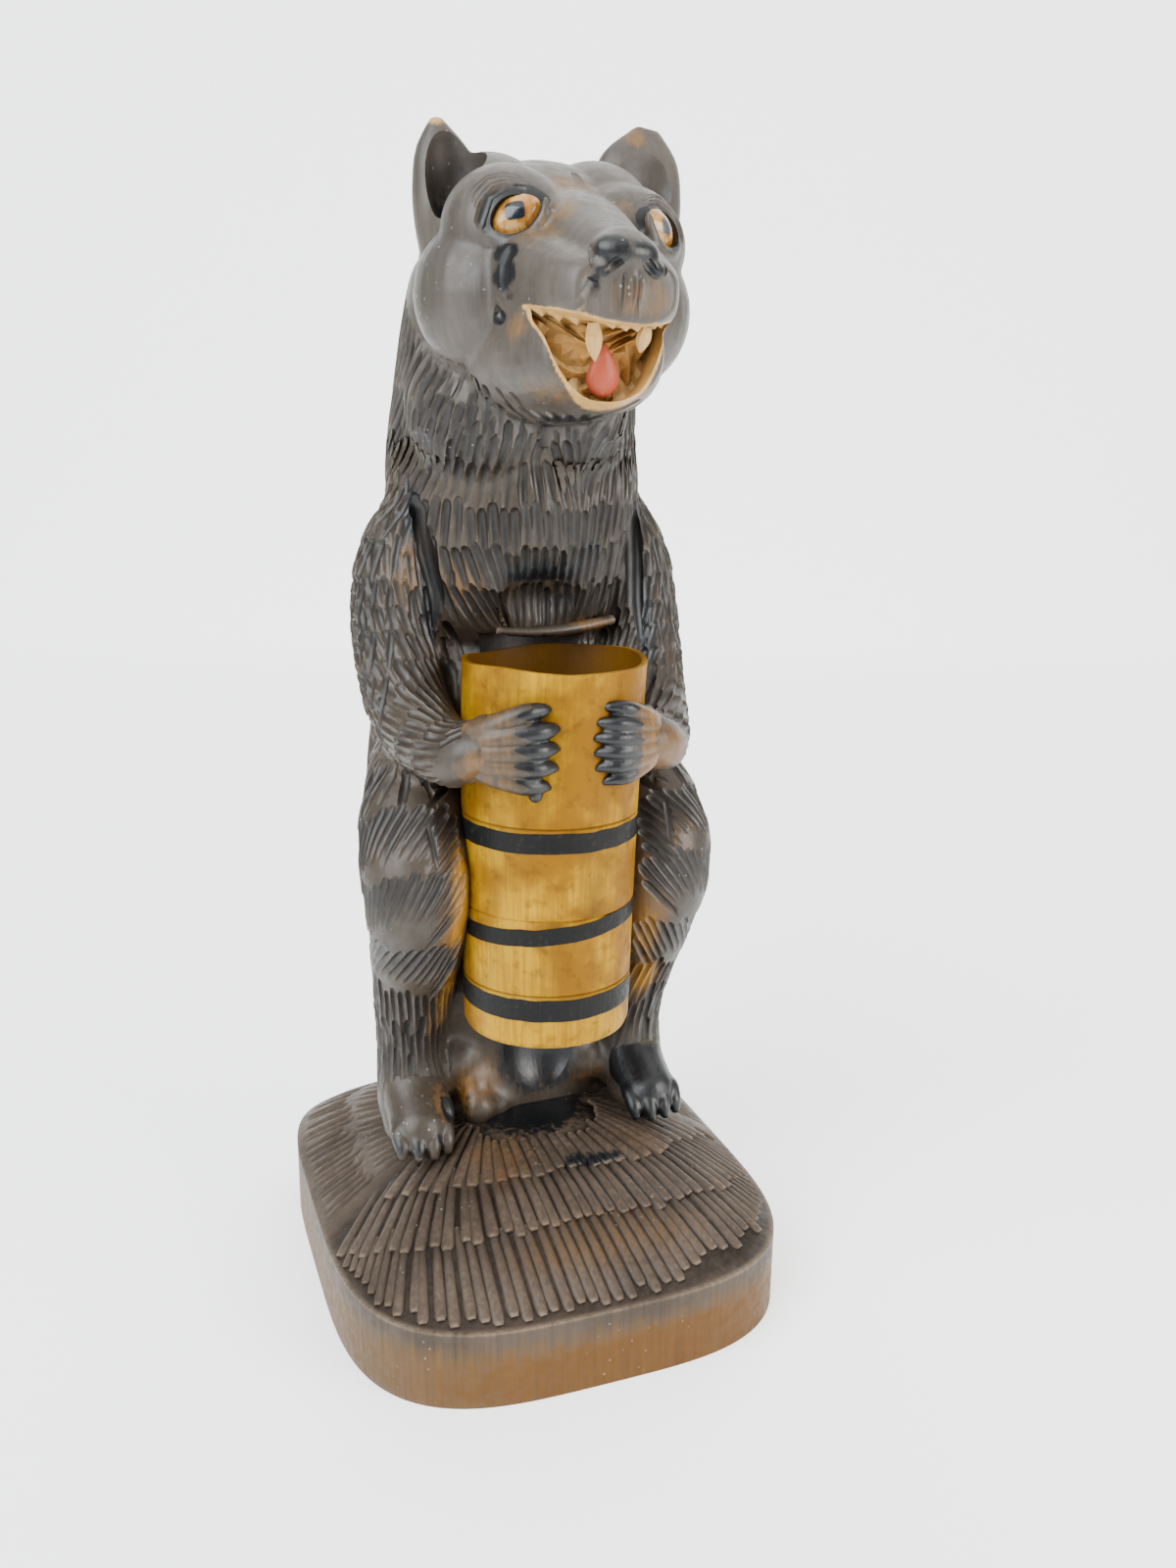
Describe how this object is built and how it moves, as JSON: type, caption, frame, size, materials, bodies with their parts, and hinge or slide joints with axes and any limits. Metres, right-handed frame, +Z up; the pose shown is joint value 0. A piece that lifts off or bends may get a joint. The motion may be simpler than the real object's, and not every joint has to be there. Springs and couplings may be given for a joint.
{
  "type": "carved bear figure",
  "caption": "Carved wooden bear standing upright on a fluted plinth, holding an open barrel in front of it with both paws.",
  "frame": {"origin": "centre of the plinth's flat underside", "axes": "+Z up, -Y the way the bear faces, +X towards the bear's left side"},
  "size_m": [0.115, 0.126, 0.2839],
  "materials": {
    "carved_wood": "gloss"
  },
  "bodies": {
    "root": {"carved_bear": "carved_wood"}
  },
  "joints": []
}
